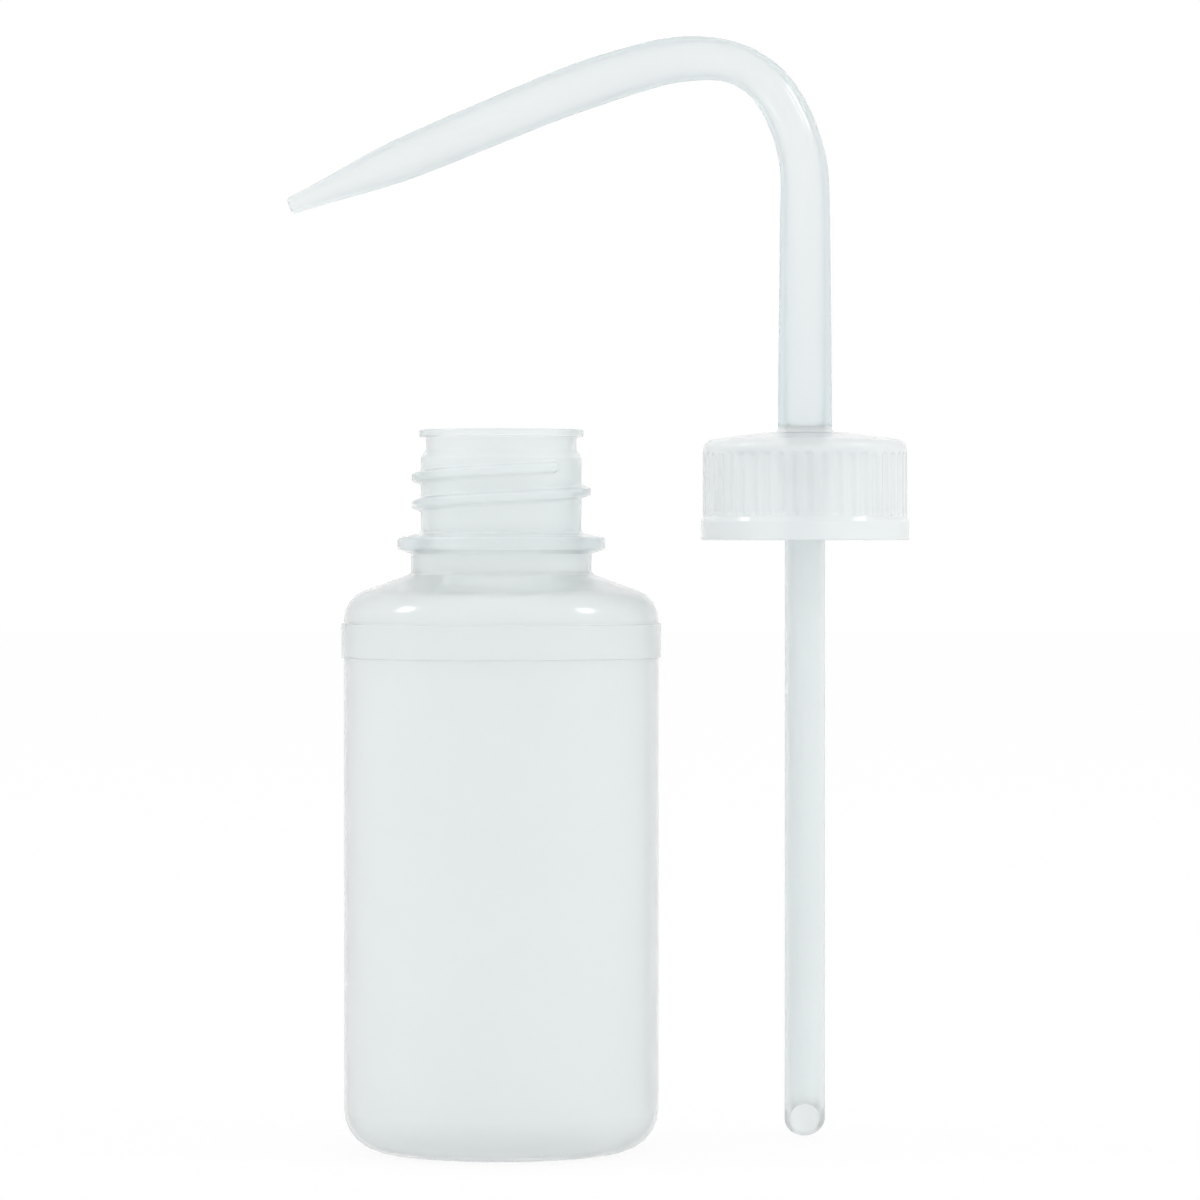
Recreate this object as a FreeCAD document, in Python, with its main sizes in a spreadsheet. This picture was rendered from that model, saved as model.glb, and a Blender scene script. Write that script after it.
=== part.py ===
"""Wash bottle in milky low-density polyethylene, shown with its spout cap taken off and standing beside it.

Three pieces: the blow-moulded bottle, the screw cap moulded in one with its bent spout, and the dip tube
pushed into the spout's foot. Millimetres, Z up, the bottle's foot on Z = 0, the spout pointing along -X.
"""
import FreeCAD, Part
import Sketcher
import math
import os
from types import SimpleNamespace

from FreeCAD import Vector

# Driving sizes in millimetres, angles in degrees
SIZES = {
    # Bottle body, from the foot up
    "body_radius": 30.0,
    "body_straight": 93.8,
    "foot_rounding": 7.8,
    "stand_ring_width": 2.0,
    "pushup_height": 1.0,
    "pushup_slope": 2.0,
    "band_height": 6.4,
    "band_relief": 0.5,
    "band_bevel": 0.2,
    "shoulder_lift": 4.9,
    "shoulder_rise": 4.6,
    "shoulder_rounding": 6.0,
    # Bottle neck
    "collar_radius": 17.23,
    "collar_height": 3.8,
    "collar_bevel": 0.5,
    "ring_radius": 19.8,
    "ring_thickness": 4.0,
    "ring_slope": 0.9,
    "ring_bevel": 0.4,
    "neck_radius": 15.35,
    "neck_length": 14.3,
    "neck_bevel": 0.5,
    "groove_depth": 1.0,
    "groove_taper": 1.5,
    "groove_length": 2.4,
    "lip_radius": 15.58,
    "lip_thickness": 1.4,
    "lip_bevel": 0.25,
    "mouth_radius": 13.2,
    # Bottle walls
    "body_wall": 1.0,
    "base_wall": 1.0,
    "foot_inner_bevel": 4.9,
    "shoulder_inner_bevel": 2.5,
    "collar_wall": 1.6,
    "neck_inside_flare": 4.3,
    # Screw thread, one start, right-handed
    "thread_depth": 1.75,
    "thread_pitch": 5.14,
    "thread_root_width": 2.7,
    "thread_crest_width": 1.1,
    "thread_embed": 0.3,
    "thread_end_swell": 0.05,
    "thread_start_angle": 165.0,
    "thread_start_lift": 5.1,
    "thread_turns": 1.4,
    "thread_clearance": 0.4,
    # Cap
    "cap_wall": 2.3,
    "cap_ring_gap": 1.5,
    "cap_plate": 1.25,
    "cap_dome": 1.5,
    "cap_rim_rounding": 2.1,
    "cap_band_height": 3.6,
    "cap_band_relief": 0.4,
    "cap_band_slope": 0.9,
    "cap_band_wall": 1.4,
    "cap_edge_bevel": 0.25,
    "cap_thread_turns": 1.5,
    "cap_thread_lead": 35.0,
    "flute_count": 44,
    "flute_radius": 1.3,
    "flute_depth": 0.5,
    "plug_wall": 1.0,
    "plug_length": 2.2,
    "plug_clearance": 0.15,
    "socket_wall": 1.7,
    "socket_length": 6.0,
    "socket_rise": 4.0,
    # Spout: tapered stem, a bend that tightens and opens again, a gentle bow, and the arm with the nozzle
    "stem_fillet": 0.9,
    "stem_base_radius": 5.22,
    "stem_upper_radius": 4.9,
    "stem_upper_height": 58.0,
    "stem_top": 67.95,
    "lead_in_radius": 33.0,
    "lead_in_angle": 33.0,
    "elbow_radius": 16.1,
    "elbow_angle": 52.0,
    "lead_out_radius": 35.6,
    "lead_out_angle": 20.1,
    "bow_radius": 186.3,
    "bow_angle": 7.5,
    "pipe_radius": 4.4,
    "bore_radius": 2.2,
    "arm_length": 51.0,
    "arm_end_radius": 4.2,
    "nozzle_length": 26.0,
    "nozzle_shoulder_share": 0.7,
    "nozzle_shoulder_radius": 3.58,
    "nozzle_waist_share": 0.45,
    "nozzle_waist_radius": 2.72,
    "nozzle_tip_radius": 1.65,
    "nozzle_tip_bevel": 0.7,
    "nozzle_bore_radius": 1.2,
    "orifice_radius": 0.6,
    # Dip tube
    "tube_radius": 3.91,
    "tube_wall": 1.0,
    "tube_floor_gap": 0.9,
    "tube_clearance": 0.03,
    "tube_cut_margin": 1.0,
    # Where the cap stands
    "cap_beside": 8.35,
    "cap_behind": 18.5,
}


class Size(float):
    """A number that also keeps the sheet formula it came from."""

    def __new__(cls, value, formula):
        number = float.__new__(cls, value)
        number.formula = formula
        return number

    def combined(self, sign, other, value):
        return Size(value, f"({self.formula} {sign} {formula_of(other)})")

    def __add__(self, other):
        return self.combined("+", other, float(self) + float(other))

    def __sub__(self, other):
        return self.combined("-", other, float(self) - float(other))

    def __mul__(self, other):
        return self.combined("*", other, float(self) * float(other))

    def __truediv__(self, other):
        return self.combined("/", other, float(self) / float(other))

    def __neg__(self):
        return Size(-float(self), f"(0 - {self.formula})")


def formula_of(number):
    return number.formula if isinstance(number, Size) else str(number)


def sine(angle):
    return Size(math.sin(math.radians(angle)), f"sin({angle.formula})")


def cosine(angle):
    return Size(math.cos(math.radians(angle)), f"cos({angle.formula})")


doc = FreeCAD.newDocument("WashBottle")
sheet = doc.addObject("Spreadsheet::Sheet", "Sizes")
for row, (alias, number) in enumerate(SIZES.items(), start=1):
    sheet.set(f"A{row}", alias)
    sheet.set(f"B{row}", str(number))
    sheet.setAlias(f"B{row}", alias)
doc.recompute()
size = SimpleNamespace(**{alias: Size(number, f"Sizes.{alias}") for alias, number in SIZES.items()})


# Levels and radii that several pieces share
band_bottom = size.body_straight
band_top = band_bottom + size.band_height
shoulder_corner = band_top + size.shoulder_lift
collar_foot = shoulder_corner + size.shoulder_rise
ring_bottom = collar_foot + size.collar_height
ring_top = ring_bottom + size.ring_thickness
neck_top = ring_top + size.neck_length
groove_bottom = neck_top + size.groove_taper
lip_bottom = groove_bottom + size.groove_length
bottle_height = lip_bottom + size.lip_thickness
base_top = size.pushup_height + size.base_wall
thread_crest = size.neck_radius + size.thread_depth
thread_start = ring_top + size.thread_start_lift

cap_inner = thread_crest + size.thread_clearance
cap_grip = cap_inner + size.cap_wall
cap_rim = cap_grip + size.cap_band_relief
cap_seat = bottle_height - ring_top - size.cap_ring_gap
tube_stop = cap_seat + size.socket_rise
tube_length = bottle_height + size.socket_rise - base_top - size.tube_floor_gap
cap_across = size.body_radius + size.cap_beside + cap_rim


def bind(thing, path, number):
    thing.setExpression(path, number.formula)


def new_body(label):
    body = doc.addObject("PartDesign::Body", label)
    body.Label = label
    return body


def new_sketch(body, name, plane, offset=None):
    """A sketch on one of the body's own origin planes."""
    sketch = body.newObject("Sketcher::SketchObject", name)
    roles = {feature.Role: feature for feature in body.Origin.OriginFeatures}
    sketch.AttachmentSupport = (roles[plane], [""])
    sketch.MapMode = "FlatFace"
    if offset is not None:
        sketch.AttachmentOffset = offset
    return sketch


def place_point(sketch, geometry, end, across, up):
    """Ties a point's distance from the sketch's origin to the sheet; a plain 0 puts it on the axis."""
    if isinstance(across, Size):
        row = sketch.addConstraint(Sketcher.Constraint("DistanceX", -1, 1, geometry, end, float(across)))
        bind(sketch, f"Constraints[{row}]", across)
    else:
        sketch.addConstraint(Sketcher.Constraint("PointOnObject", geometry, end, -2))
    if isinstance(up, Size):
        row = sketch.addConstraint(Sketcher.Constraint("DistanceY", -1, 1, geometry, end, float(up)))
        bind(sketch, f"Constraints[{row}]", up)
    else:
        sketch.addConstraint(Sketcher.Constraint("PointOnObject", geometry, end, -1))


BEVEL = "bevel"


def draw_outline(sketch, corners):
    """Closed outline bound to the sheet, through corners (across, up), sharp as they stand.

    A third entry rounds the corner by that radius, and with BEVEL after it cuts that length off both sides.
    """
    points = [Vector(float(corner[0]), float(corner[1]), 0) for corner in corners]
    starts, ends, arcs = [], [], []
    for number, corner in enumerate(corners):
        here = points[number]
        if len(corner) == 2:
            starts.append(here)
            ends.append(here)
            arcs.append(None)
            continue
        back = (points[number - 1] - here).normalize()
        ahead = (points[(number + 1) % len(points)] - here).normalize()
        if BEVEL in corner:
            ends.append(here + back * float(corner[2]))
            starts.append(here + ahead * float(corner[2]))
            arcs.append(None)
            continue
        half_angle = back.getAngle(ahead) / 2
        reach = corner[2] / math.tan(half_angle)
        centre = here + (back + ahead).normalize() * (corner[2] / math.sin(half_angle))
        ends.append(here + back * reach)
        starts.append(here + ahead * reach)
        arcs.append((centre, back.cross(ahead).z < 0))
    lines = []
    for number in range(len(points)):
        line = Part.LineSegment(starts[number], ends[(number + 1) % len(points)])
        lines.append(sketch.addGeometry(line))
    for number, corner in enumerate(corners):
        before, after = lines[number - 1], lines[number]
        if len(corner) == 2:
            sketch.addConstraint(Sketcher.Constraint("Coincident", before, 2, after, 1))
            place_point(sketch, after, 1, corner[0], corner[1])
            continue
        mark = sketch.addGeometry(Part.Point(points[number]), True)
        place_point(sketch, mark, 1, corner[0], corner[1])
        sketch.addConstraint(Sketcher.Constraint("PointOnObject", mark, 1, before))
        sketch.addConstraint(Sketcher.Constraint("PointOnObject", mark, 1, after))
        if arcs[number] is None:
            cut = sketch.addGeometry(Part.LineSegment(ends[number], starts[number]))
            sketch.addConstraint(Sketcher.Constraint("Coincident", before, 2, cut, 1))
            sketch.addConstraint(Sketcher.Constraint("Coincident", cut, 2, after, 1))
            for end in (1, 2):
                length = Sketcher.Constraint("Distance", mark, 1, cut, end, float(corner[2]))
                row = sketch.addConstraint(length)
                bind(sketch, f"Constraints[{row}]", corner[2])
            continue
        centre, turns_left = arcs[number]
        first, last = (ends[number], starts[number]) if turns_left else (starts[number], ends[number])
        angles = [math.atan2((p - centre).y, (p - centre).x) for p in (first, last)]
        circle = Part.Circle(centre, Vector(0, 0, 1), float(corner[2]))
        arc = sketch.addGeometry(Part.ArcOfCircle(circle, *angles))
        entry, leave = (1, 2) if turns_left else (2, 1)
        sketch.addConstraint(Sketcher.Constraint("Tangent", before, 2, arc, entry))
        sketch.addConstraint(Sketcher.Constraint("Tangent", arc, leave, after, 1))
        row = sketch.addConstraint(Sketcher.Constraint("Radius", arc, float(corner[2])))
        bind(sketch, f"Constraints[{row}]", corner[2])


def draw_circle(sketch, radius):
    """Circle round the sketch's origin."""
    circle = sketch.addGeometry(Part.Circle(Vector(0, 0, 0), Vector(0, 0, 1), float(radius)))
    sketch.addConstraint(Sketcher.Constraint("Coincident", circle, 3, -1, 1))
    row = sketch.addConstraint(Sketcher.Constraint("Radius", circle, float(radius)))
    bind(sketch, f"Constraints[{row}]", radius)


def revolve(body, name, sketch, kind="PartDesign::Revolution", axis="V_Axis"):
    feature = body.newObject(kind, name)
    feature.Profile = sketch
    feature.ReferenceAxis = (sketch, [axis])
    feature.Angle = 360
    doc.recompute()
    return feature


def turned_about_z(angle):
    """Offset that swings a sketch on the XZ plane round the vertical axis."""
    return FreeCAD.Placement(Vector(0, 0, 0), FreeCAD.Rotation(Vector(0, 1, 0), float(angle)))


def add_thread(body, name, root, crest, height, turns, start_angle=size.thread_start_angle):
    """Trapezoid swept round the axis, each end closed by a round button a touch larger than the thread.

    root and crest are the radii of its foot and top, so an inside thread has a crest smaller than its root.
    """
    root_half = size.thread_root_width / 2
    crest_half = size.thread_crest_width / 2
    sketch = new_sketch(body, name + "Section", "XZ_Plane", turned_about_z(start_angle))
    bind(sketch, ".AttachmentOffset.Rotation.Angle", start_angle)
    draw_outline(sketch, [
        (root, height - root_half),
        (crest, height - crest_half),
        (crest, height + crest_half),
        (root, height + root_half),
    ])
    helix = body.newObject("PartDesign::AdditiveHelix", name)
    helix.Profile = sketch
    helix.ReferenceAxis = (sketch, ["V_Axis"])
    helix.Mode = "pitch-turns-angle"
    helix.Pitch = float(size.thread_pitch)
    helix.Turns = float(turns)
    bind(helix, "Pitch", size.thread_pitch)
    bind(helix, "Turns", turns)
    doc.recompute()
    end_angle = start_angle + turns * 360
    end_height = height + turns * size.thread_pitch
    swell = size.thread_end_swell
    button_top = crest + swell if crest > root else crest - swell
    for label, angle, level in (("Start", start_angle, height), ("End", end_angle, end_height)):
        half = new_sketch(body, f"{name}{label}Half", "XZ_Plane", turned_about_z(angle))
        bind(half, ".AttachmentOffset.Rotation.Angle", angle)
        draw_outline(half, [
            (root, level),
            (button_top, level),
            (button_top, level + crest_half + swell),
            (root, level + root_half + swell),
        ])
        line = half.addGeometry(Part.LineSegment(Vector(root, level, 0), Vector(button_top, level, 0)), True)
        for end, across in ((1, root), (2, button_top)):
            place_point(half, line, end, across, level)
        revolve(body, f"{name}{label}", half, axis="Axis0")


def make_bottle():
    """Blow-moulded bottle: one revolved wall from the pushed-up base to the lip, and the thread."""
    body = new_body("bottle")
    wall = new_sketch(body, "BottleWall", "XZ_Plane")
    ring_inner = size.body_radius - size.foot_rounding - size.stand_ring_width
    foot_slope = ring_inner - size.pushup_slope
    inner_side = size.body_radius - size.body_wall
    collar_inner = size.collar_radius - size.collar_wall
    neck_inside_foot = ring_top - size.neck_inside_flare
    groove_radius = size.neck_radius - size.groove_depth
    band_radius = size.body_radius + size.band_relief
    draw_outline(wall, [
        (0, size.pushup_height),
        (foot_slope, size.pushup_height),
        (ring_inner, 0),
        (size.body_radius, 0, size.foot_rounding),
        (size.body_radius, band_bottom),
        (band_radius, band_bottom, size.band_bevel, BEVEL),
        (band_radius, band_top, size.band_bevel, BEVEL),
        (size.body_radius, band_top),
        (size.body_radius, shoulder_corner, size.shoulder_rounding),
        (size.collar_radius, collar_foot, size.collar_bevel, BEVEL),
        (size.collar_radius, ring_bottom),
        (size.ring_radius, ring_bottom + size.ring_slope, size.ring_bevel, BEVEL),
        (size.ring_radius, ring_top - size.ring_slope, size.ring_bevel, BEVEL),
        (size.neck_radius, ring_top, size.neck_bevel, BEVEL),
        (size.neck_radius, neck_top),
        (groove_radius, groove_bottom),
        (groove_radius, lip_bottom),
        (size.lip_radius, lip_bottom, size.lip_bevel, BEVEL),
        (size.lip_radius, bottle_height, size.lip_bevel, BEVEL),
        (size.mouth_radius, bottle_height, size.lip_bevel, BEVEL),
        (size.mouth_radius, ring_top),
        (collar_inner, neck_inside_foot),
        (collar_inner, collar_foot - size.body_wall),
        (inner_side, shoulder_corner - size.body_wall / 2, size.shoulder_inner_bevel, BEVEL),
        (inner_side, size.base_wall, size.foot_inner_bevel, BEVEL),
        (ring_inner, size.base_wall),
        (foot_slope, base_top),
        (0, base_top),
    ])
    revolve(body, "BottleShell", wall)
    root = size.neck_radius - size.thread_embed
    add_thread(body, "NeckThread", root, thread_crest, thread_start, size.thread_turns)
    return body


def make_cap_shell(body):
    """Domed cap with its thin band, plug ring and tube socket, and the hollow stem, as one turning."""
    shoulder = cap_seat + size.cap_plate
    crown = shoulder + size.cap_dome
    band_inner = cap_rim - size.cap_band_wall
    inner_step = band_inner - cap_inner
    plug_outer = size.mouth_radius - size.plug_clearance
    plug_inner = plug_outer - size.plug_wall
    plug_end = cap_seat - size.plug_length
    socket_inner = size.tube_radius + size.tube_clearance
    socket_outer = socket_inner + size.socket_wall
    socket_end = cap_seat - size.socket_length
    shell = new_sketch(body, "CapShell", "XZ_Plane")
    draw_outline(shell, [
        (size.bore_radius, tube_stop),
        (socket_inner, tube_stop),
        (socket_inner, socket_end, size.cap_edge_bevel, BEVEL),
        (socket_outer, socket_end, size.cap_edge_bevel, BEVEL),
        (socket_outer, cap_seat),
        (plug_inner, cap_seat),
        (plug_inner, plug_end, size.cap_edge_bevel, BEVEL),
        (plug_outer, plug_end, size.cap_edge_bevel, BEVEL),
        (plug_outer, cap_seat),
        (cap_inner, cap_seat),
        (cap_inner, size.cap_band_height + inner_step),
        (band_inner, size.cap_band_height),
        (band_inner, 0, size.cap_edge_bevel, BEVEL),
        (cap_rim, 0, size.cap_edge_bevel, BEVEL),
        (cap_rim, size.cap_band_height),
        (cap_grip, size.cap_band_height + size.cap_band_slope),
        (cap_grip, shoulder, size.cap_rim_rounding),
        (size.stem_base_radius, crown, size.stem_fillet),
        (size.stem_upper_radius, size.stem_upper_height),
        (size.pipe_radius, size.stem_top),
        (size.bore_radius, size.stem_top),
    ])
    revolve(body, "CapTurned", shell)


def make_flutes(body):
    """Upright grip flutes that run out at both ends, cut by one turned cutter and repeated round the cap."""
    middle = cap_grip + size.flute_radius - size.flute_depth
    deepest = cap_grip - size.flute_depth
    low = size.cap_band_height
    high = cap_seat + size.cap_plate - size.cap_rim_rounding
    cutter = new_sketch(body, "FluteCutter", "XZ_Plane")
    draw_outline(cutter, [
        (middle, low),
        (middle, high),
        (deepest, high - size.flute_radius),
        (deepest, low + size.flute_radius),
    ])
    line = cutter.addGeometry(Part.LineSegment(Vector(middle, low, 0), Vector(middle, high, 0)), True)
    place_point(cutter, line, 1, middle, low)
    place_point(cutter, line, 2, middle, high)
    flute = revolve(body, "Flute", cutter, "PartDesign::Groove", "Axis0")
    pattern = body.newObject("PartDesign::PolarPattern", "Flutes")
    pattern.Originals = [flute]
    pattern.Axis = (cutter, ["V_Axis"])
    pattern.Angle = 360
    pattern.Occurrences = int(size.flute_count)
    bind(pattern, "Occurrences", size.flute_count)
    body.Tip = pattern
    doc.recompute()


def round_a_curve(start, radius, first_angle, sweep):
    """Point reached from a start by an arc to the left, whose first_angle is counted from the upright."""
    last_angle = first_angle + sweep
    across = start[0] + radius * cosine(last_angle) - radius * cosine(first_angle)
    up = start[1] + radius * sine(last_angle) - radius * sine(first_angle)
    return across, up


def make_spout_pipe(body):
    """Hollow round section swept along four curves; gives back where the last one ends and its tilt."""
    route = new_sketch(body, "SpoutRoute", "XZ_Plane")
    tilt = Size(0.0, "0")
    here = (Size(0.0, "0"), size.stem_top)
    last_row = None
    for radius, sweep in (
        (size.lead_in_radius, size.lead_in_angle),
        (size.elbow_radius, size.elbow_angle),
        (size.lead_out_radius, size.lead_out_angle),
        (size.bow_radius, size.bow_angle),
    ):
        begin, end = math.radians(tilt), math.radians(tilt + sweep)
        centre = Vector(*here, 0) - Vector(math.cos(begin), math.sin(begin), 0) * float(radius)
        circle = Part.Circle(centre, Vector(0, 0, 1), float(radius))
        row = route.addGeometry(Part.ArcOfCircle(circle, begin, end))
        constraint = route.addConstraint(Sketcher.Constraint("Radius", row, float(radius)))
        bind(route, f"Constraints[{constraint}]", radius)
        if last_row is None:
            place_point(route, row, 1, 0, size.stem_top)
        else:
            route.addConstraint(Sketcher.Constraint("Coincident", last_row, 2, row, 1))
        here = round_a_curve(here, radius, tilt, sweep)
        place_point(route, row, 2, *here)
        tilt = tilt + sweep
        last_row = row
    stem_end = FreeCAD.Placement(Vector(0, 0, float(size.stem_top)), FreeCAD.Rotation())
    ring = new_sketch(body, "SpoutSection", "XY_Plane", stem_end)
    bind(ring, ".AttachmentOffset.Base.z", size.stem_top)
    draw_circle(ring, size.pipe_radius)
    draw_circle(ring, size.bore_radius)
    doc.recompute()
    pipe = body.newObject("PartDesign::AdditivePipe", "SpoutPipe")
    pipe.Profile = ring
    pipe.Spine = (route, [""])
    doc.recompute()
    return here, tilt


def make_arm(body, bow_end, tilt):
    """Straight arm drawn down to the nozzle, with its bore, turned about its own axis."""
    nozzle_start = size.arm_length - size.nozzle_length
    shoulder = size.arm_length - size.nozzle_length * size.nozzle_shoulder_share
    waist = size.arm_length - size.nozzle_length * size.nozzle_waist_share
    arm_start = FreeCAD.Placement(Vector(*bow_end, 0), FreeCAD.Rotation(Vector(0, 0, 1), float(tilt)))
    arm = new_sketch(body, "ArmSection", "XZ_Plane", arm_start)
    bind(arm, ".AttachmentOffset.Base.x", bow_end[0])
    bind(arm, ".AttachmentOffset.Base.y", bow_end[1])
    bind(arm, ".AttachmentOffset.Rotation.Angle", tilt)
    draw_outline(arm, [
        (size.bore_radius, 0),
        (size.pipe_radius, 0),
        (size.arm_end_radius, nozzle_start),
        (size.nozzle_shoulder_radius, shoulder),
        (size.nozzle_waist_radius, waist),
        (size.nozzle_tip_radius, size.arm_length, size.nozzle_tip_bevel, BEVEL),
        (size.orifice_radius, size.arm_length),
        (size.nozzle_bore_radius, waist),
        (size.bore_radius, nozzle_start),
    ])
    revolve(body, "Arm", arm)


def make_cap():
    """Screw cap and bent spout moulded in one."""
    body = new_body("spout_cap")
    make_cap_shell(body)
    make_flutes(body)
    start_angle = size.thread_start_angle + size.cap_thread_lead
    turned = size.thread_pitch * size.cap_thread_lead / 360
    start = cap_seat - bottle_height + thread_start + size.thread_pitch / 2 + turned
    root = cap_inner + size.thread_embed
    crest = size.neck_radius + size.thread_clearance
    add_thread(body, "CapThread", root, crest, start, size.cap_thread_turns, start_angle)
    bow_end, tilt = make_spout_pipe(body)
    make_arm(body, bow_end, tilt)
    return body


def make_dip_tube():
    """Plain tube with its lower end cut off slantwise, the open side facing the front."""
    body = new_body("dip_tube")
    ring = new_sketch(body, "TubeSection", "XY_Plane")
    draw_circle(ring, size.tube_radius)
    draw_circle(ring, size.tube_radius - size.tube_wall)
    pad = body.newObject("PartDesign::Pad", "Tube")
    pad.Profile = ring
    pad.Length = float(tube_length)
    bind(pad, "Length", tube_length)
    cut = new_sketch(body, "SlantCutSide", "YZ_Plane")
    reach = size.tube_radius + size.tube_cut_margin
    draw_outline(cut, [
        (-reach, -size.tube_cut_margin),
        (reach, -size.tube_cut_margin),
        (-reach, reach * 2 - size.tube_cut_margin),
    ])
    doc.recompute()
    slant = body.newObject("PartDesign::Pocket", "SlantCut")
    slant.Profile = cut
    slant.Type = "ThroughAll"
    slant.Midplane = True
    doc.recompute()
    return body


def place(body, across, behind, up):
    for axis, distance in (("x", across), ("y", behind), ("z", up)):
        bind(body, f"Placement.Base.{axis}", distance)


bottle = make_bottle()
cap = make_cap()
tube = make_dip_tube()
place(cap, cap_across, size.cap_behind, tube_length - tube_stop)
place(tube, cap_across, size.cap_behind, Size(0.0, "0"))
doc.recompute()

for thing in doc.Objects:
    if "Invalid" in thing.State or "Error" in thing.State:
        raise ValueError(f"{thing.Name} is not built: {thing.State}")
os.makedirs("parts", exist_ok=True)
for body in (bottle, cap, tube):
    shape = body.Shape
    if shape.isNull() or not shape.isValid() or len(shape.Solids) != 1:
        raise ValueError(f"{body.Label} is not one valid solid")
    shape.exportStep(f"parts/{body.Label}.step")
    print(body.Label, round(shape.Volume), len(shape.Faces), shape.optimalBoundingBox())
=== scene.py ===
# %% [markdown]
# # A wash bottle in milky plastic, with its spout cap taken off
#
# The real object is a squeeze bottle for rinsing glassware. It has three pieces: a blow-moulded bottle, a
# screw cap moulded in one with its long bent spout, and a dip tube pushed into the cap. All three are
# soft polyethylene, which is cloudy: light goes into the wall, scatters and comes out again. The picture
# lives on that glow, on thin bright edges and on what can be guessed through the walls, so every piece
# here has a real wall with an inside and an outside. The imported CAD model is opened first, because it
# says where everything stands.

import math

import bmesh
import bpy
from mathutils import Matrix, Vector


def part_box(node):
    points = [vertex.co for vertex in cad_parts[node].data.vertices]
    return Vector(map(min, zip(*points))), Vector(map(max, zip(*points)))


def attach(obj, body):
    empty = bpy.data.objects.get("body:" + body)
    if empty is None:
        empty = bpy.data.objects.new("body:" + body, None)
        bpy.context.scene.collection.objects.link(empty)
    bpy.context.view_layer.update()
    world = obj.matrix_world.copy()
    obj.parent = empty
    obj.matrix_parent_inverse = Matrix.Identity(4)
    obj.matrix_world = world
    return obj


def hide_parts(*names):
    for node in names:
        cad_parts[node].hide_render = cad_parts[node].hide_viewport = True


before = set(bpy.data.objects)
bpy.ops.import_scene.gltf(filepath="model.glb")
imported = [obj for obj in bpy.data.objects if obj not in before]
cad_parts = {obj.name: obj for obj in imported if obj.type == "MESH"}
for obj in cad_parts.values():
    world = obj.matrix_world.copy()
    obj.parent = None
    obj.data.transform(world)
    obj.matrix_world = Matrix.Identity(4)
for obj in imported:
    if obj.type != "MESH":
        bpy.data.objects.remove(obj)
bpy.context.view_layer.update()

# %% [markdown]
# ## Where the pieces stand
#
# Sizes are written in millimetres, as on a drawing, and turned into Blender's metres in one place. The
# middle of the bottle is the middle of its box. The cap's box also holds the long spout, so its axis is
# found from its right-hand side, which is the rim of the cap itself, and from the middle of its depth.

# %% Read the places from the frame
MM = 0.001
bottle_low, bottle_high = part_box("bottle")
cap_low, cap_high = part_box("spout_cap")
tube_low, tube_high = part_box("dip_tube")

CAP_RIM = 20.2
bottle_height = (bottle_high[2] - bottle_low[2]) / MM
band_radius = (bottle_high[0] - bottle_low[0]) / 2 / MM
tube_radius = (tube_high[0] - tube_low[0]) / 2 / MM
tube_length = (tube_high[2] - tube_low[2]) / MM
cap_place = Vector((cap_high[0] - CAP_RIM * MM, (cap_low[1] + cap_high[1]) / 2, cap_low[2]))
print("bottle", round(bottle_height, 2), "mm tall,", round(band_radius * 2, 2), "mm across its band")
print("cap axis at", [round(value / MM, 2) for value in cap_place], "mm")

# %% [markdown]
# ## A wall made of rings
#
# A turned or swept wall is a row of rings of points, each joined to the next by a belt of faces. Spinning
# a profile with a modifier would do for a plain bottle, but a thread, grip flutes and a bent spout need
# each ring to be its own shape, so the rings are worked out here and stitched by hand. A ring may have a
# whole number of times more points than its neighbour, which keeps the thin spout light while the fluted
# cap stays fine. A ring of a single point closes the wall on its axis, and a wall that runs back to its
# first ring is hollow like a pipe.

# %% Stitch rings into a mesh
def stitch(name, rings, closed):
    """Makes an object from rings of points in millimetres, joined in order and, if closed, last to first."""
    mesh = bmesh.new()
    rows = [[mesh.verts.new(Vector(point) * MM) for point in ring] for ring in rings]
    pairs = list(zip(rows, rows[1:]))
    if closed:
        pairs.append((rows[-1], rows[0]))
    for first, second in pairs:
        fine, coarse = (first, second) if len(first) >= len(second) else (second, first)
        step = len(fine) // len(coarse)
        if len(coarse) == 1:
            step = 1
        for number in range(len(fine) // step):
            start = number * step
            edge = [fine[(start + count) % len(fine)] for count in range(step + 1)]
            if len(coarse) == 1:
                mesh.faces.new(edge + [coarse[0]])
            else:
                mesh.faces.new(edge + [coarse[(number + 1) % len(coarse)], coarse[number]])
    bmesh.ops.recalc_face_normals(mesh, faces=mesh.faces)
    for face in mesh.faces:
        face.smooth = True
    data = bpy.data.meshes.new(name)
    mesh.to_mesh(data)
    mesh.free()
    piece = bpy.data.objects.new(name, data)
    bpy.context.scene.collection.objects.link(piece)
    print(name, "has", len(data.polygons), "faces")
    return piece

# %% [markdown]
# ## Profiles with soft corners
#
# No corner of a moulded piece is sharp: each has a small radius that catches a thin line of light. A
# profile is written as a few corners, each with its radius, and this cell puts the arcs in. It also adds
# a point just before and after each arc. Without them Blender would smooth the shading of a long straight
# wall into the tiny corner beside it, and the wall would look bent.

# %% Round the corners of a profile
ARC_STEP = math.radians(18)
GUARD = 0.12


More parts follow.
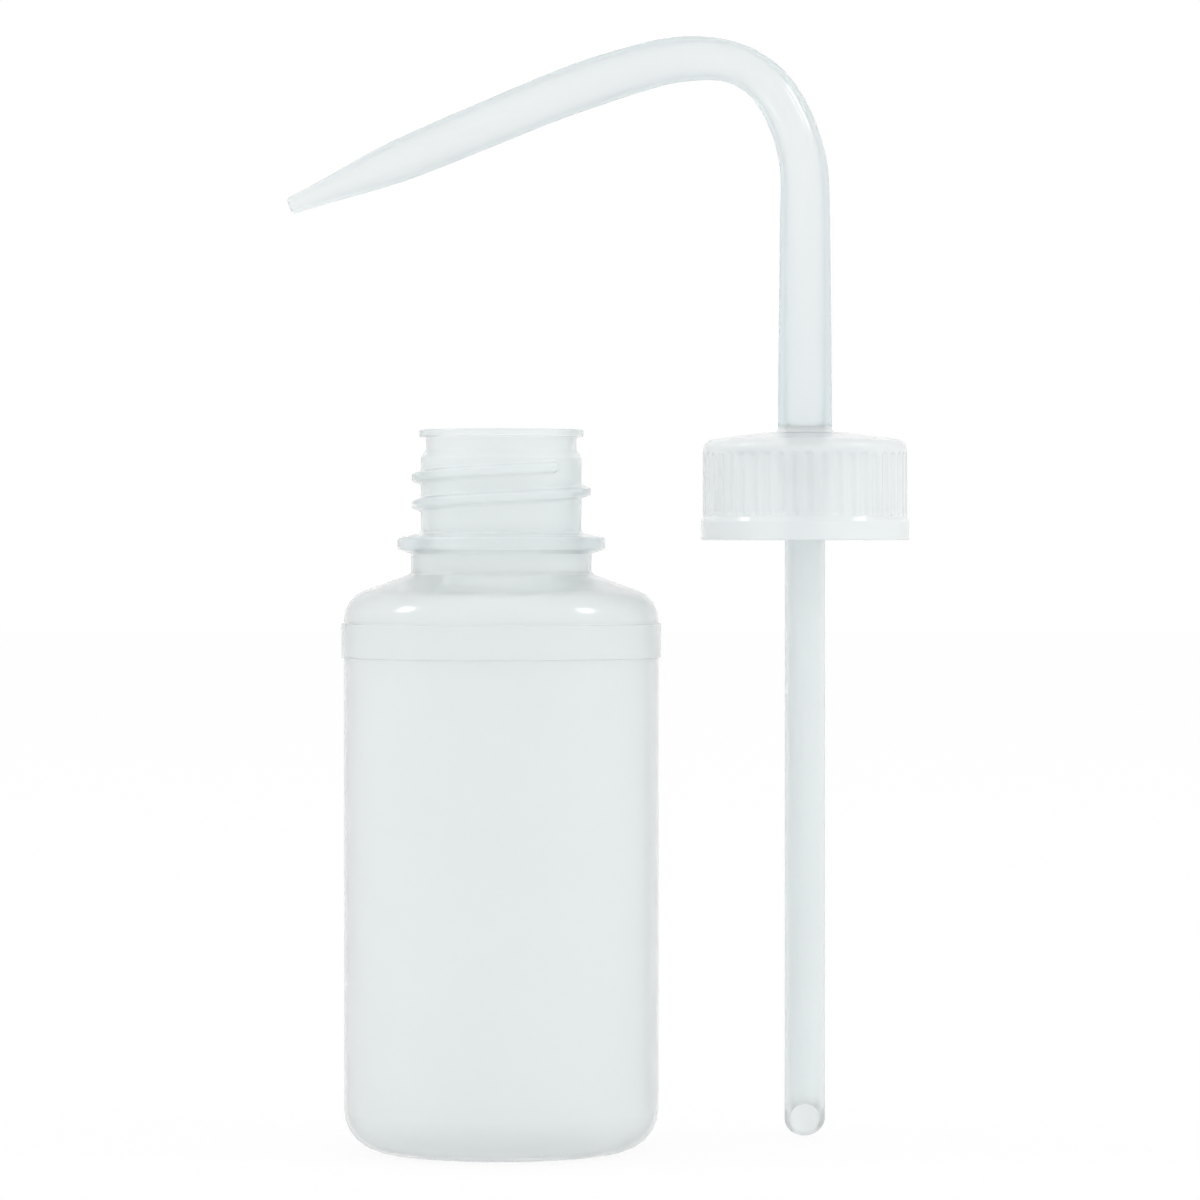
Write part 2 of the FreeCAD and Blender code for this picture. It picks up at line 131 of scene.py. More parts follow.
def soften(corners):
    """Turns corners (radius from the axis, height, rounding) into the points of a profile."""
    points = []
    last = len(corners) - 1
    for number, (across, up, rounding) in enumerate(corners):
        here = Vector((across, up))
        if rounding == 0 or number in (0, last):
            points.append(here)
            continue
        back = Vector(corners[number - 1][:2]) - here
        ahead = Vector(corners[number + 1][:2]) - here
        room = min(back.length, ahead.length)
        back.normalize()
        ahead.normalize()
        half_angle = back.angle(ahead) / 2
        reach = rounding / math.tan(half_angle)
        centre = here + (back + ahead).normalized() * (rounding / math.sin(half_angle))
        start = here + back * reach - centre
        sweep = start.angle_signed(here + ahead * reach - centre)
        steps = max(3, math.ceil(abs(sweep) / ARC_STEP))
        guard = min(GUARD, (room - reach) / 3)
        points.append(here + back * (reach + guard))
        for step in range(steps + 1):
            turn = -sweep * step / steps
            arm = Vector((start.x * math.cos(turn) - start.y * math.sin(turn),
                          start.x * math.sin(turn) + start.y * math.cos(turn)))
            points.append(centre + arm)
        points.append(here + ahead * (reach + guard))
    return points


def divide(points, low, high, gap):
    """Adds points between two heights, so that a thread or a flute has rows to be drawn on."""
    result = [points[0]]
    for first, second in zip(points, points[1:]):
        length = (second - first).length
        inside = min(first.y, second.y) >= low - gap and max(first.y, second.y) <= high + gap
        steps = math.ceil(length / gap) if inside and length > gap else 1
        result += [first.lerp(second, step / steps) for step in range(1, steps + 1)]
    return result

# %% [markdown]
# ## The screw thread
#
# The neck carries one raised ridge that climbs a little under one and a half turns, with a rounded end.
# It could be a separate swept strip pushed into the neck, but in a see-through wall the buried part would
# show. So the ridge is drawn as a lift of the wall itself: for each point the cell finds how far it is
# from the ridge's centre line and raises it by a soft-shouldered step. The same helper, turned inwards,
# makes the thread inside the cap.

# %% Lift of the wall over a thread
THREAD_DEPTH = 1.75
THREAD_PITCH = 5.14
THREAD_FOOT = 1.4
THREAD_TOP = 0.5
THREAD_START = 165.0
THREAD_TURNS = 1.4


def thread_lift(angle, height, radius, start_angle, start_height, turns):
    """How far the ridge stands out of the wall at an angle in degrees and a height."""
    nearest = THREAD_FOOT
    first = ((angle - start_angle) / 360) % 1.0
    for turn in (first - 1, first, first + 1, first + 2):
        held = min(max(turn, 0.0), turns)
        along = (turn - held) * 2 * math.pi * radius
        away = math.hypot(along, height - start_height - held * THREAD_PITCH)
        nearest = min(nearest, away)
    share = min(max((THREAD_FOOT - nearest) / (THREAD_FOOT - THREAD_TOP), 0.0), 1.0)
    return THREAD_DEPTH * share * share * (3 - 2 * share)

# %% [markdown]
# ## The bottle
#
# A blow-moulded bottle starts as a hot tube that air presses against a mould, so its wall is thin and
# nearly even, and the inside follows the outside more softly. One profile runs from the middle of the
# pushed-up base, up the outside over the raised band, the shoulder, the transfer ring and the neck, over
# the lip and down the inside again. A revolved profile is the true way to make it, since the mould was
# turned too.

# %% Make the bottle
WALL = 1.0
PUSHUP = 1.0
PUSHUP_RADIUS = 17.4
STAND_RADIUS = 19.4
BAND_RISE = 0.5
BODY_RADIUS = band_radius - BAND_RISE
FOOT_ROUNDING = 7.8
BAND_LOW = 93.8
BAND_HIGH = 100.2
SHOULDER_CORNER = 105.1
SHOULDER_TOP = 109.7
COLLAR_RADIUS = 17.23
COLLAR_WALL = 1.6
RING_RADIUS = 19.8
RING_LOW = 113.5
RING_HIGH = 117.5
RING_SLOPE = 0.9
NECK_RADIUS = 15.35
NECK_TOP = 131.8
NECK_FLARE = 4.3
GROOVE_DEPTH = 1.0
GROOVE_TAPER = 1.5
LIP_RADIUS = 15.68
LIP_THICKNESS = 1.4
MOUTH_RADIUS = 13.2
THREAD_RISE = 5.1
THREAD_ZONE = 0.8
AROUND_BOTTLE = 256
ROW_GAP = 0.25
SAME_RADIUS = 0.01

bottle_corners = [
    (0.0, PUSHUP, 0),
    (PUSHUP_RADIUS, PUSHUP, 0.8),
    (STAND_RADIUS, 0.0, 0.6),
    (BODY_RADIUS, 0.0, FOOT_ROUNDING),
    (BODY_RADIUS, BAND_LOW, 0.25),
    (band_radius, BAND_LOW, 0.2),
    (band_radius, BAND_HIGH, 0.2),
    (BODY_RADIUS, BAND_HIGH, 0.25),
    (BODY_RADIUS, SHOULDER_CORNER, 6.0),
    (COLLAR_RADIUS, SHOULDER_TOP, 0.9),
    (COLLAR_RADIUS, RING_LOW, 0.3),
    (RING_RADIUS, RING_LOW + RING_SLOPE, 0.5),
    (RING_RADIUS, RING_HIGH - RING_SLOPE, 0.6),
    (NECK_RADIUS, RING_HIGH, 0.7),
    (NECK_RADIUS, NECK_TOP, 0.7),
    (NECK_RADIUS - GROOVE_DEPTH, NECK_TOP + GROOVE_TAPER, 0.7),
    (NECK_RADIUS - GROOVE_DEPTH, bottle_height - LIP_THICKNESS, 0.2),
    (LIP_RADIUS, bottle_height - LIP_THICKNESS, 0.35),
    (LIP_RADIUS, bottle_height, 0.35),
    (MOUTH_RADIUS, bottle_height, 0.4),
    (MOUTH_RADIUS, RING_HIGH, 1.5),
    (COLLAR_RADIUS - COLLAR_WALL, RING_HIGH - NECK_FLARE, 1.5),
    (COLLAR_RADIUS - COLLAR_WALL, SHOULDER_TOP - WALL, 0.9),
    (BODY_RADIUS - WALL, SHOULDER_CORNER - WALL / 2, 5.0),
    (BODY_RADIUS - WALL, WALL, FOOT_ROUNDING - 0.9),
    (STAND_RADIUS, WALL, 0.6),
    (PUSHUP_RADIUS, PUSHUP + WALL, 0.6),
    (0.0, PUSHUP + WALL, 0),
]
thread_start_height = RING_HIGH + THREAD_RISE


def bottle_ring(point):
    """Ring of the bottle's wall at a profile point, with the thread drawn on the outside of the neck."""
    if point.x < SAME_RADIUS:
        return [(0, 0, point.y)]
    on_neck = abs(point.x - NECK_RADIUS) < SAME_RADIUS and point.y > RING_HIGH
    ring = []
    for number in range(AROUND_BOTTLE):
        angle = 360 * number / AROUND_BOTTLE
        radius = point.x
        if on_neck:
            radius += thread_lift(
                angle, point.y, NECK_RADIUS, THREAD_START, thread_start_height, THREAD_TURNS)
        turn = math.radians(angle)
        ring.append((radius * math.cos(turn), radius * math.sin(turn), point.y))
    return ring


wall_profile = divide(soften(bottle_corners), RING_HIGH + THREAD_ZONE, NECK_TOP, ROW_GAP)
bottle_piece = stitch("bottle_wall", [bottle_ring(point) for point in wall_profile], closed=False)

# %% [markdown]
# ## The cap
#
# The cap is injection-moulded, so it is crisper than the bottle. Forty-four shallow flutes give the
# fingers grip. They are the marks of a round cutter in the mould, so each flute is worked out as the
# circle that such a cutter leaves, and it runs out above the plain lower band and below the rounded top
# edge. Inside, a thin plug ring seals the bottle's mouth, a socket grips the dip tube and a thread meets
# the one on the neck: they show faintly through the wall, so they are modelled too. The grip needs more
# points round than the stem does, so the walls change from coarse to fine on the seat and on the crown.

# %% Shape of the cap's shell
CAP_INNER = 17.5
CAP_GRIP = 19.8
CAP_SEAT = 18.1
CAP_SHOULDER = 19.35
CAP_CROWN = 20.85
CAP_EDGE_ROUNDING = 2.1
BAND_HEIGHT = 3.6
BAND_INNER = CAP_RIM - 1.4
BAND_STEP = 0.9
EDGE = 0.35
BORE = 3.5
TUBE_STOP = 22.1
SOCKET_INNER = tube_radius + 0.03
SOCKET_OUTER = SOCKET_INNER + 1.7
SOCKET_END = 12.1
PLUG_OUTER = MOUTH_RADIUS - 0.15
PLUG_INNER = PLUG_OUTER - 1.0
PLUG_END = 15.9
STEM_FOOT = 5.22
STEM_FILLET = 0.9
FLUTES = 44
FLUTE_RADIUS = 1.3
FLUTE_DEPTH = 0.5
FLUTE_LOW = BAND_HEIGHT + 0.2
FLUTE_HIGH = CAP_SHOULDER - 1.6
AROUND_CAP = FLUTES * 8
AROUND_STEM = FLUTES * 2
CAP_THREAD_TURNS = 1.5
CAP_THREAD_LEAD = 35.0
CAP_ROW_GAP = 0.3
SEAT_COARSE = CAP_INNER - 2.0
SEAT_FINE = CAP_INNER - 1.6
RIM_SPLIT = 0.4
DOME_RADIUS = 11.0
DOME_DROP = 0.35
DOME_ROUNDING = 20.0
CROWN_FINE = 8.0
CROWN_COARSE = 7.2

cap_thread_angle = THREAD_START + CAP_THREAD_LEAD
cap_thread_climb = THREAD_PITCH * (0.5 + CAP_THREAD_LEAD / 360)
cap_thread_height = CAP_SEAT - bottle_height + thread_start_height + cap_thread_climb


def flute_cut(angle, height):
    """How deep the grip flutes cut into the cap at an angle in degrees and a height."""
    cutter = min(FLUTE_RADIUS, height - FLUTE_LOW, FLUTE_HIGH - height)
    pitch = 360 / FLUTES
    aside = math.radians((angle + pitch / 2) % pitch - pitch / 2) * CAP_GRIP
    if cutter <= abs(aside):
        return 0.0
    reach = math.sqrt(cutter * cutter - aside * aside)
    return max(0.0, reach - (FLUTE_RADIUS - FLUTE_DEPTH))


def cap_ring(point, around, inside=False):
    """Ring of the cap's wall: fluted on the grip, threaded on the inner wall, plain elsewhere."""
    ring = []
    for number in range(around):
        angle = 360 * number / around
        radius = point.x
        if inside and abs(radius - CAP_INNER) < SAME_RADIUS:
            radius -= thread_lift(
                angle, point.y, CAP_INNER, cap_thread_angle, cap_thread_height, CAP_THREAD_TURNS)
        elif not inside and radius > CAP_GRIP - SAME_RADIUS:
            radius -= flute_cut(angle, point.y)
        turn = math.radians(angle)
        ring.append((radius * math.cos(turn), radius * math.sin(turn), point.y))
    return ring


under_side = soften([
    (BORE, TUBE_STOP, 0),
    (SOCKET_INNER, TUBE_STOP, 0.3),
    (SOCKET_INNER, SOCKET_END, 0.3),
    (SOCKET_OUTER, SOCKET_END, 0.3),
    (SOCKET_OUTER, CAP_SEAT, 0.5),
    (PLUG_INNER, CAP_SEAT, 0.3),
    (PLUG_INNER, PLUG_END, 0.3),
    (PLUG_OUTER, PLUG_END, 0.3),
    (PLUG_OUTER, CAP_SEAT, 0.3),
    (SEAT_COARSE, CAP_SEAT, 0),
])
inner_wall = soften([
    (SEAT_FINE, CAP_SEAT, 0),
    (CAP_INNER, CAP_SEAT, 0.5),
    (CAP_INNER, BAND_HEIGHT + 1.2, 0.4),
    (BAND_INNER, BAND_HEIGHT, 0.4),
    (BAND_INNER, RIM_SPLIT, 0),
])
outer_wall = soften([
    (BAND_INNER, RIM_SPLIT, 0),
    (BAND_INNER, 0.0, EDGE),
    (CAP_RIM, 0.0, EDGE),
    (CAP_RIM, BAND_HEIGHT, EDGE),
    (CAP_GRIP, BAND_HEIGHT + BAND_STEP, 0.5),
    (CAP_GRIP, CAP_SHOULDER, CAP_EDGE_ROUNDING),
    (DOME_RADIUS, CAP_CROWN - DOME_DROP, DOME_ROUNDING),
    (CROWN_FINE, CAP_CROWN, 0),
])
stem_foot = soften([
    (CROWN_COARSE, CAP_CROWN, 0),
    (STEM_FOOT, CAP_CROWN, STEM_FILLET),
    (STEM_FOOT, TUBE_STOP, 0),
])
print("cap", round(CAP_RIM * 2, 1), "mm across with", FLUTES, "flutes")

# %% [markdown]
# ## The bent spout
#
# The spout grows out of the cap as a tapered tube, turns over in one bend, bows gently and runs straight
# down to a drawn nozzle. A curve with a bevel is the quick way to make a tube, but its bore, its fillet
# and its own taper would be separate things. Here the centre line is worked out as a distance along the
# route, and a ring is set square to it every millimetre or so. The radius is read between a few measured
# places and then smoothed, because heat and bending leave the pipe a touch thinner in the bend. The bore
# is drawn wider than the real one: real plastic works as a lens and makes its bore look half as wide
# again, and the plastic here bends light less, to keep the thin nozzle clean.

# %% Route and radius of the spout
STEM_TOP = 67.95
CURVES = [(33.0, 33.0), (16.1, 52.0), (35.6, 20.1), (186.3, 7.5)]
ARM_LENGTH = 51.0
SMOOTHING_SPOTS = 9
STEM_START_GAP = 2.4

stem_start = CAP_CROWN + STEM_START_GAP
spout_end = STEM_TOP + sum(radius * math.radians(angle) for radius, angle in CURVES) + ARM_LENGTH


def spout_place(distance):
    """Centre (across, up) and tilt of the route at a distance counted from the cap's lower edge."""
    across, up, tilt = 0.0, min(distance, STEM_TOP), 0.0
    left = distance - STEM_TOP
    for radius, angle in CURVES:
        if left <= 0:
            return across, up, tilt
        turn = min(left / radius, math.radians(angle))
        across += radius * (math.cos(tilt + turn) - math.cos(tilt))
        up += radius * (math.sin(tilt + turn) - math.sin(tilt))
        tilt += turn
        left -= radius * math.radians(angle)
    left = max(left, 0.0)
    return across - math.sin(tilt) * left, up + math.cos(tilt) * left, tilt


def between(places, distance):
    """Value at a distance, read between pairs (distance, value) that rise in distance."""
    for (first, low), (last, high) in zip(places, places[1:]):
        if distance <= last:
            share = max(distance - first, 0.0) / (last - first)
            return low + (high - low) * share
    return places[-1][1]


def smoothed(places, distance, reach):
    """Mean of the values around a distance, which rounds off the corners between the places."""
    spots = [distance + reach * (2 * step / (SMOOTHING_SPOTS - 1) - 1) for step in range(SMOOTHING_SPOTS)]
    return sum(between(places, spot) for spot in spots) / SMOOTHING_SPOTS


outer_radii = [
    (stem_start, STEM_FOOT),
    (36.0, 5.16),
    (50.0, 5.0),
    (62.0, 4.88),
    (70.0, 4.7),
    (80.0, 4.4),
    (88.0, 4.2),
    (94.0, 3.96),
    (99.0, 3.98),
    (106.0, 4.34),
    (116.0, 4.52),
    (126.0, 4.66),
    (136.0, 4.5),
    (156.0, 4.34),
    (166.0, 4.08),
    (172.0, 3.56),
    (180.0, 2.56),
    (184.0, 2.1),
    (spout_end, 1.6),
]
bore_radii = [
    (TUBE_STOP, BORE),
    (30.0, 3.6),
    (62.0, 3.6),
    (80.0, 3.3),
    (94.0, 2.9),
    (106.0, 3.2),
    (126.0, 3.5),
    (156.0, 3.25),
    (166.0, 3.05),
    (172.0, 2.5),
    (180.0, 1.5),
    (spout_end, 0.7),
]


def spout_ring(distance, radius):
    """Ring square to the route."""
    across, up, tilt = spout_place(distance)
    ring = []
    for number in range(AROUND_STEM):
        turn = 2 * math.pi * number / AROUND_STEM
        out = radius * math.cos(turn)
        ring.append((across + out * math.cos(tilt), radius * math.sin(turn), up + out * math.sin(tilt)))
    return ring


print("spout", round(spout_end - CAP_CROWN, 1), "mm along its route")

# %% [markdown]
# ## Two closed skins
#
# The cap and spout are one moulding, but they are drawn as two closed skins, because they look different
# and each skin can only have one finish. One skin runs under the cap, down its inner wall, up the outside
# and over the dome to the foot of the stem. The other runs up the outside of the spout, round the tip and
# back through the bore. The spout's skin starts two hundredths of a millimetre inside the cap's, so that
# no gap is left between them. A union of the two would be cleaner, but it would leave ragged faces there.

# %% Make the spout cap
TIP_ROUNDING = 0.8
TIP_RINGS = 5
EVENED = 2.0
RING_GAP = 1.2
BORE_RING_GAP = 1.8
ROOT_LAP = 0.02
CAP_THREAD_ZONE = 1.8
GRIP_ZONE = 1.0

outside_end = spout_end - TIP_ROUNDING
steps = math.ceil((outside_end - stem_start) / RING_GAP)
outside = [stem_start + (outside_end - stem_start) * step / steps for step in range(steps + 1)]
spout_outside = [spout_ring(distance, smoothed(outer_radii, distance, EVENED)) for distance in outside]

tip_radius = smoothed(outer_radii, outside_end, EVENED)
tip = []
for step in range(1, TIP_RINGS + 1):
    turn = math.pi / 2 * step / TIP_RINGS
    radius = tip_radius - TIP_ROUNDING * (1 - math.cos(turn))
    tip.append(spout_ring(outside_end + TIP_ROUNDING * math.sin(turn), radius))

steps = math.ceil((spout_end - TUBE_STOP) / BORE_RING_GAP)
inside = [spout_end - (spout_end - TUBE_STOP) * step / steps for step in range(steps)]
bore = [spout_ring(distance, smoothed(bore_radii, distance, EVENED)) for distance in inside]

inner_wall = divide(inner_wall, BAND_HEIGHT + CAP_THREAD_ZONE, CAP_SEAT, CAP_ROW_GAP)
outer_wall = divide(outer_wall, BAND_HEIGHT, CAP_SHOULDER - GRIP_ZONE, CAP_ROW_GAP)
cap_rings = [cap_ring(point, AROUND_STEM) for point in under_side]
cap_rings += [cap_ring(point, AROUND_CAP, inside=True) for point in inner_wall]
cap_rings += [cap_ring(point, AROUND_CAP) for point in outer_wall[1:]]
cap_rings += [cap_ring(point, AROUND_STEM) for point in stem_foot]
spout_root = TUBE_STOP - ROOT_LAP
spout_rings = [spout_ring(spout_root, STEM_FOOT)] + spout_outside + tip + bore
spout_rings.append(spout_ring(spout_root, BORE))


def at_cap(rings):
    """The same rings, moved from the cap's own axis to its place."""
    return [[Vector(point) + cap_place / MM for point in ring] for ring in rings]


cap_piece = stitch("spout_cap_shell", at_cap(cap_rings), closed=True)
spout_shell = stitch("spout_shell", at_cap(spout_rings), closed=True)

# %% [markdown]
# ## The dip tube
#
# A length of extruded tube, cut off slantwise at the bottom so that it never sucks flat against the
# bottle's base. It is two sleeves of rings, outside and inside, and the lowest ring of each leans with
# the cut. Making the cut with a boolean would work as well, but leaning the last ring keeps the faces
# long and even.

# %% Make the dip tube
TUBE_WALL = 1.0
TUBE_EDGE = 0.12
AROUND_TUBE = 64
TUBE_ROWS = 24
tube_place = Vector(((tube_low[0] + tube_high[0]) / 2, (tube_low[1] + tube_high[1]) / 2, tube_low[2]))


def tube_ring(radius, level):
    """Ring of the tube at a level from 0, leaning along the slant cut, to 1, square at the upper end."""
    ring = []
    for number in range(AROUND_TUBE):
        turn = 2 * math.pi * number / AROUND_TUBE
        x, y = radius * math.cos(turn), radius * math.sin(turn)
        cut = tube_radius - y
        ring.append(Vector((x, y, cut + (tube_length - cut) * level)) + tube_place / MM)
    return ring


bore_radius = tube_radius - TUBE_WALL
levels = [TUBE_EDGE / tube_length] + [row / TUBE_ROWS for row in range(1, TUBE_ROWS)]
levels.append(1 - TUBE_EDGE / tube_length)
outer_sleeve = [tube_ring(tube_radius, level) for level in levels]
inner_sleeve = [tube_ring(bore_radius, level) for level in reversed(levels)]
upper_edge = [tube_ring(tube_radius - TUBE_EDGE, 1), tube_ring(bore_radius + TUBE_EDGE, 1)]
lower_edge = [tube_ring(bore_radius + TUBE_EDGE, 0), tube_ring(tube_radius - TUBE_EDGE, 0)]
tube_piece = stitch("dip_tube_sleeve", outer_sleeve + upper_edge + inner_sleeve + lower_edge, closed=True)

# %% [markdown]
# ## Milky plastic
#
# Natural polyethylene is neither clear nor white. Part of the light passes through and is blurred, part
# of it is scattered back, and the skin has a soft waxy shine. One Principled shader does this:
# transmission for the light that passes, its base colour for the light that comes back, and a coat for
# the shine. The true refractive index of 1.5 would fill so small a nozzle with sparkles, so the light is
# bent less and the coat alone keeps the true index. Absorption inside the wall does the rest: light that
# runs along the wall of the bore travels farther in plastic than light that crosses it, and that draws
# the thin grey-blue line inside each edge of the spout. The cap and the tube have many walls behind one
# another and would turn too white, so their skin covers less and lets part of the light go straight
# through. Nodes add what keeps it from looking like a computer's plastic: slow and very faint clouds in
# the colour, patches of duller skin, and a bump made of broad flow waves and a fine orange-peel grain.

# %% Build a plastic
SOFT_BEND = 1.12
TRUE_BEND = 1.5
DEPTH_TINT = (0.30, 0.56, 0.61)
SKIN_ROUGHNESS = 0.36
COAT_ROUGHNESS = 0.14
CLOUD_SHADE = 0.98
CLOUD_SCALE = 45.0
DULL_LESS = 0.03
DULL_MORE = 0.06
DULL_SCALE = 130.0
GRAIN_SCALE = 2500.0


def milky_plastic(name, colour, clear, cover, depth, wave_size, wave_height, grain_height):
    """Cloudy plastic: clear is the share that refracts, cover the share that meets the skin at all,
    depth the absorption per metre of wall, and the waves and the grain are in millimetres."""
    material = bpy.data.materials.new(name)
    material.use_nodes = True
    nodes, links = material.node_tree.nodes, material.node_tree.links
    skin = nodes["Principled BSDF"]
    skin.inputs["Transmission Weight"].default_value = clear
    skin.inputs["Alpha"].default_value = cover
    skin.inputs["IOR"].default_value = SOFT_BEND
    skin.inputs["Coat Weight"].default_value = 1.0
    skin.inputs["Coat IOR"].default_value = TRUE_BEND
    skin.inputs["Coat Roughness"].default_value = COAT_ROUGHNESS
    if depth:
        inside = nodes.new("ShaderNodeVolumeAbsorption")
        inside.inputs["Color"].default_value = (*DEPTH_TINT, 1)
        inside.inputs["Density"].default_value = depth
        links.new(inside.outputs["Volume"], nodes["Material Output"].inputs["Volume"])

    place = nodes.new("ShaderNodeTexCoord")

    def noise(scale, detail):
        texture = nodes.new("ShaderNodeTexNoise")
        texture.inputs["Scale"].default_value = scale
        texture.inputs["Detail"].default_value = detail
        links.new(place.outputs["Object"], texture.inputs["Vector"])
        return texture.outputs["Fac"]

    clouds = nodes.new("ShaderNodeMix")
    clouds.data_type = "RGBA"
    links.new(noise(CLOUD_SCALE, 3.0), clouds.inputs["Factor"])
    clouds.inputs["A"].default_value = (*[value * CLOUD_SHADE for value in colour], 1)
    clouds.inputs["B"].default_value = (*colour, 1)
    links.new(clouds.outputs["Result"], skin.inputs["Base Color"])

    dulling = nodes.new("ShaderNodeMapRange")
    dulling.inputs["To Min"].default_value = SKIN_ROUGHNESS - DULL_LESS
    dulling.inputs["To Max"].default_value = SKIN_ROUGHNESS + DULL_MORE
    links.new(noise(DULL_SCALE, 4.0), dulling.inputs["Value"])
    links.new(dulling.outputs["Result"], skin.inputs["Roughness"])

    waves = nodes.new("ShaderNodeBump")
    waves.inputs["Distance"].default_value = wave_height * MM
    links.new(noise(1 / (wave_size * MM), 1.0), waves.inputs["Height"])
    grain = nodes.new("ShaderNodeBump")
    grain.inputs["Distance"].default_value = grain_height * MM
    links.new(noise(GRAIN_SCALE, 2.0), grain.inputs["Height"])
    links.new(waves.outputs["Normal"], grain.inputs["Normal"])
    links.new(grain.outputs["Normal"], skin.inputs["Normal"])
    return material


bottle_plastic = milky_plastic(
    "blown_milky_plastic", colour=(0.968, 0.99, 0.99), clear=0.74, cover=1.0, depth=15.0,
    wave_size=14.0, wave_height=0.25, grain_height=0.006)
cap_plastic = milky_plastic(
    "moulded_milky_plastic", colour=(0.955, 0.985, 0.992), clear=0.45, cover=0.78, depth=0,
    wave_size=9.0, wave_height=0.06, grain_height=0.003)
spout_plastic = milky_plastic(
    "drawn_clear_plastic", colour=(1.0, 1.0, 1.0), clear=0.93, cover=1.0, depth=66.0,
    wave_size=9.0, wave_height=0.06, grain_height=0.003)
tube_plastic = milky_plastic(
    "extruded_milky_plastic", colour=(0.955, 0.985, 0.988), clear=0.65, cover=0.85, depth=14.0,
    wave_size=20.0, wave_height=0.05, grain_height=0.002)
print("plastics:", bottle_plastic.name, cap_plastic.name, spout_plastic.name, tube_plastic.name)

# %% [markdown]
# ## Handing the pieces over
#
# Each fine piece stands for one CAD piece, moves with the object's one body and is given the plastic
# listed beside it. The cap and spout are one moulding and one mesh, but the spout is drawn thin
# and looks clearer. So the mesh is two closed skins that meet where the bore begins, each with its own
# finish, because light that is absorbed in a wall has to leave that wall through the finish it came in
# by.

# %% Put the pieces on the body
spout_shell.data.materials.append(spout_plastic)
for piece, node, slot, plastic in (
    (bottle_piece, "bottle", "bottle_plastic", bottle_plastic),
    (cap_piece, "spout_cap", "cap_plastic", cap_plastic),
    (tube_piece, "dip_tube", "tube_plastic", tube_plastic),
):
    piece.data.materials.append(plastic)
    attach(piece, "root")
    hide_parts(node)
    print(piece.name, "stands for", node)
with bpy.context.temp_override(active_object=cap_piece, selected_editable_objects=[cap_piece, spout_shell]):
    bpy.ops.object.join()
print("cap with spout:", len(cap_piece.data.polygons), "faces in", len(cap_piece.data.materials), "finishes")

# %% [markdown]
# ## Floor and background
#
# The bottle was photographed on a surface so bright that it disappears. The floor is a plain pale sheet,
# and its material asks what kind of ray is looking at it. The camera, reflections and light seen through
# the plastic find a mostly glowing white, mixed with enough real surface to keep the soft shadow at the
# foot. Light that bounces off the floor onto the object meets an ordinary pale board.

# %% Lay the floor and light the background
FLOOR_SIZE = 12.0
FLOOR_WHITE = 0.9
FLOOR_GLOW = 0.9


def direct_view(nodes, links):
    """1 for rays from the camera, in reflections and through the plastic, 0 for light that bounces."""
    path = nodes.new("ShaderNodeLightPath")
    first = nodes.new("ShaderNodeMath")
    first.operation = "MAXIMUM"
    links.new(path.outputs["Is Camera Ray"], first.inputs[0])
    links.new(path.outputs["Is Glossy Ray"], first.inputs[1])
    both = nodes.new("ShaderNodeMath")
    both.operation = "MAXIMUM"
    links.new(first.outputs[0], both.inputs[0])
    links.new(path.outputs["Is Transmission Ray"], both.inputs[1])
    return both.outputs[0]


board = bpy.data.materials.new("pale_floor")
board.use_nodes = True
nodes, links = board.node_tree.nodes, board.node_tree.links
nodes.remove(nodes["Principled BSDF"])
surface = nodes.new("ShaderNodeBsdfDiffuse")
surface.inputs["Color"].default_value = (FLOOR_WHITE, FLOOR_WHITE, FLOOR_WHITE, 1)
glow = nodes.new("ShaderNodeEmission")
glow.inputs["Strength"].default_value = 1.0
share = nodes.new("ShaderNodeMath")
share.operation = "MULTIPLY"
links.new(direct_view(nodes, links), share.inputs[0])
share.inputs[1].default_value = FLOOR_GLOW
blend = nodes.new("ShaderNodeMixShader")
links.new(share.outputs[0], blend.inputs["Fac"])
links.new(surface.outputs[0], blend.inputs[1])
links.new(glow.outputs[0], blend.inputs[2])
links.new(blend.outputs[0], nodes["Material Output"].inputs["Surface"])

bpy.ops.mesh.primitive_plane_add(size=FLOOR_SIZE, location=(0, 0, 0))
floor = bpy.context.object
floor.name = "floor"
floor.data.materials.append(board)

world = bpy.data.worlds.new("studio")
bpy.context.scene.world = world
world.use_nodes = True
room = world.node_tree.nodes["Background"]
room.inputs["Color"].default_value = (1, 1, 1, 1)
room.inputs["Strength"].default_value = 1.0
print("floor", FLOOR_SIZE, "m across")

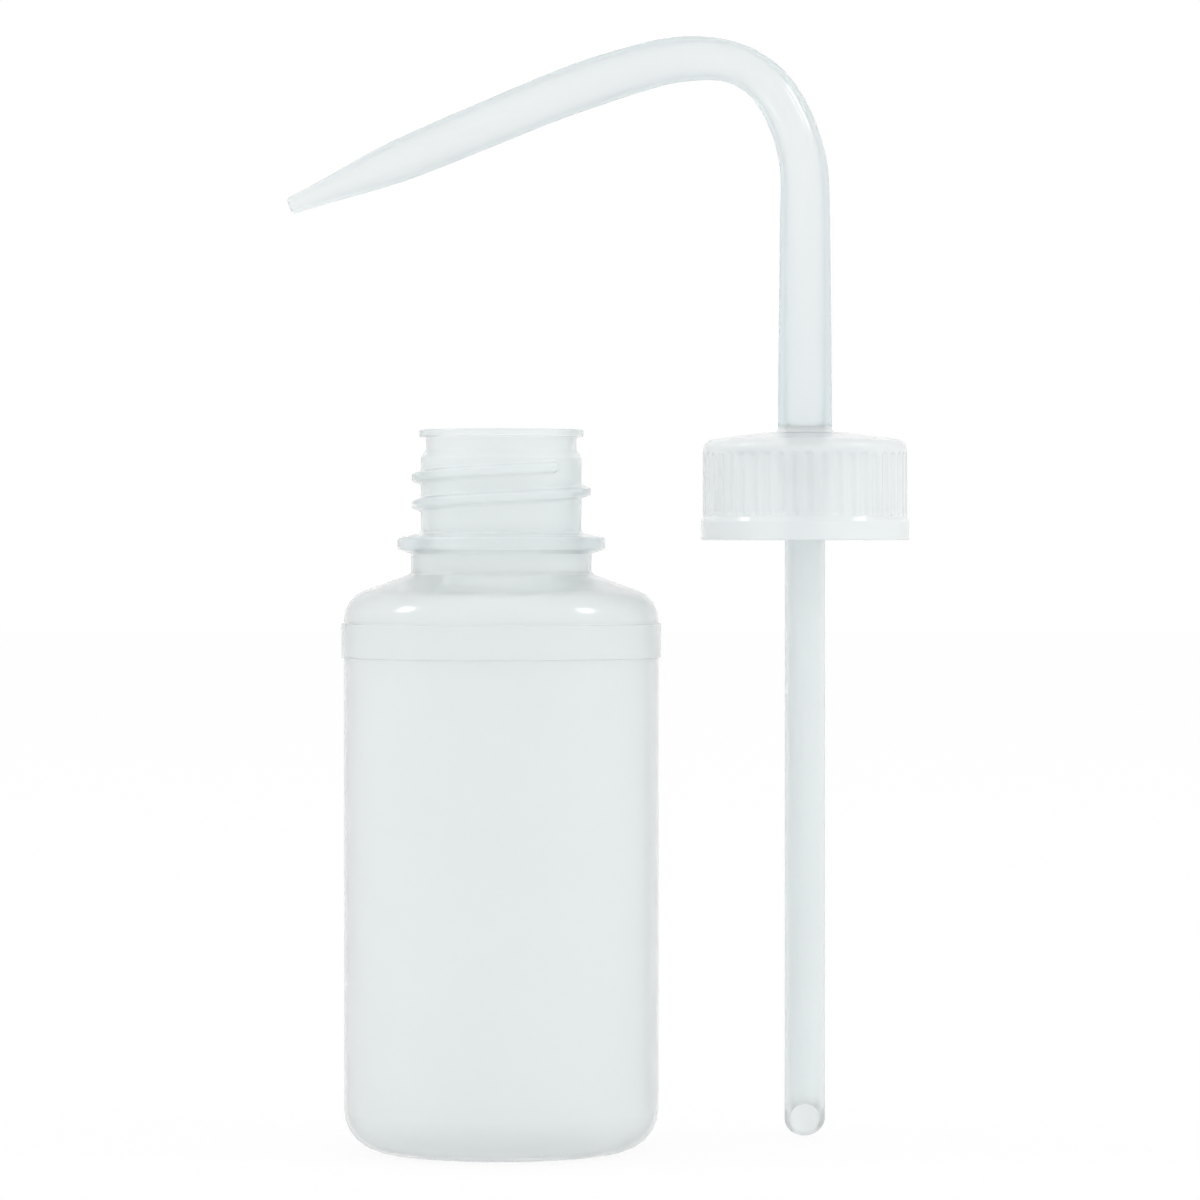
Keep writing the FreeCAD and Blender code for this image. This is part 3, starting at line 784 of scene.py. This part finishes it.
# %% [markdown]
# ## Lamps
#
# Two soft boxes stand high at the sides, as in a product studio. The upright walls hardly mirror them and
# stay even, while the round shoulder and the bend of the spout turn far enough up to show each of them as
# one soft highlight. They also make the edges of the ring, the thread and the flutes readable on an
# object that is nearly as pale as the background. The white room gives most of the light.

# %% Set the soft boxes
BOX_DISTANCE = 1.4
BOX_LIFT = 1.05
BOX_WIDTH = 0.30
BOX_HEIGHT = 0.45
BOX_AIM = Vector((0.02, 0.0, 0.10))


def soft_box(name, azimuth, power):
    """Area lamp at an angle in degrees round from the camera's side, turned to the object."""
    turn = math.radians(azimuth)
    place = Vector((math.sin(turn) * BOX_DISTANCE, -math.cos(turn) * BOX_DISTANCE, BOX_LIFT))
    lamp = bpy.data.lights.new(name, "AREA")
    lamp.shape = "RECTANGLE"
    lamp.size = BOX_WIDTH
    lamp.size_y = BOX_HEIGHT
    lamp.energy = power
    holder = bpy.data.objects.new(name, lamp)
    holder.location = place
    holder.rotation_euler = (BOX_AIM - place).to_track_quat("-Z", "Y").to_euler()
    bpy.context.scene.collection.objects.link(holder)
    print(name, power, "W")


soft_box("left_soft_box", azimuth=-84.0, power=3.6)
soft_box("right_soft_box", azimuth=74.0, power=3.2)

# %% [markdown]
# ## Camera
#
# The ellipses of the lip and of the base tell the camera's height. It looks nearly level from about a
# metre away with a long lens, so the uprights stay upright. It is turned down by half a degree rather
# than shifted.

# %% Place the camera
CAMERA_HEIGHT = 115.6
CAMERA_ACROSS = 18.8
CAMERA_DISTANCE = 1030.0
LOOK_HEIGHT = 104.7
SENSOR_WIDTH = 36.0
LENS = 162.2

camera_data = bpy.data.cameras.new("camera")
camera_data.sensor_width = SENSOR_WIDTH
camera_data.lens = LENS
camera_data.clip_start = 0.05
camera_data.clip_end = 50.0
camera = bpy.data.objects.new("camera", camera_data)
camera.location = Vector((CAMERA_ACROSS, -CAMERA_DISTANCE, CAMERA_HEIGHT)) * MM
look_at = Vector((CAMERA_ACROSS, 0.0, LOOK_HEIGHT)) * MM
camera.rotation_euler = (look_at - camera.location).to_track_quat("-Z", "Y").to_euler()
bpy.context.scene.collection.objects.link(camera)
bpy.context.scene.camera = camera
bpy.context.scene.view_settings.view_transform = "Standard"
print("lens", LENS, "mm")
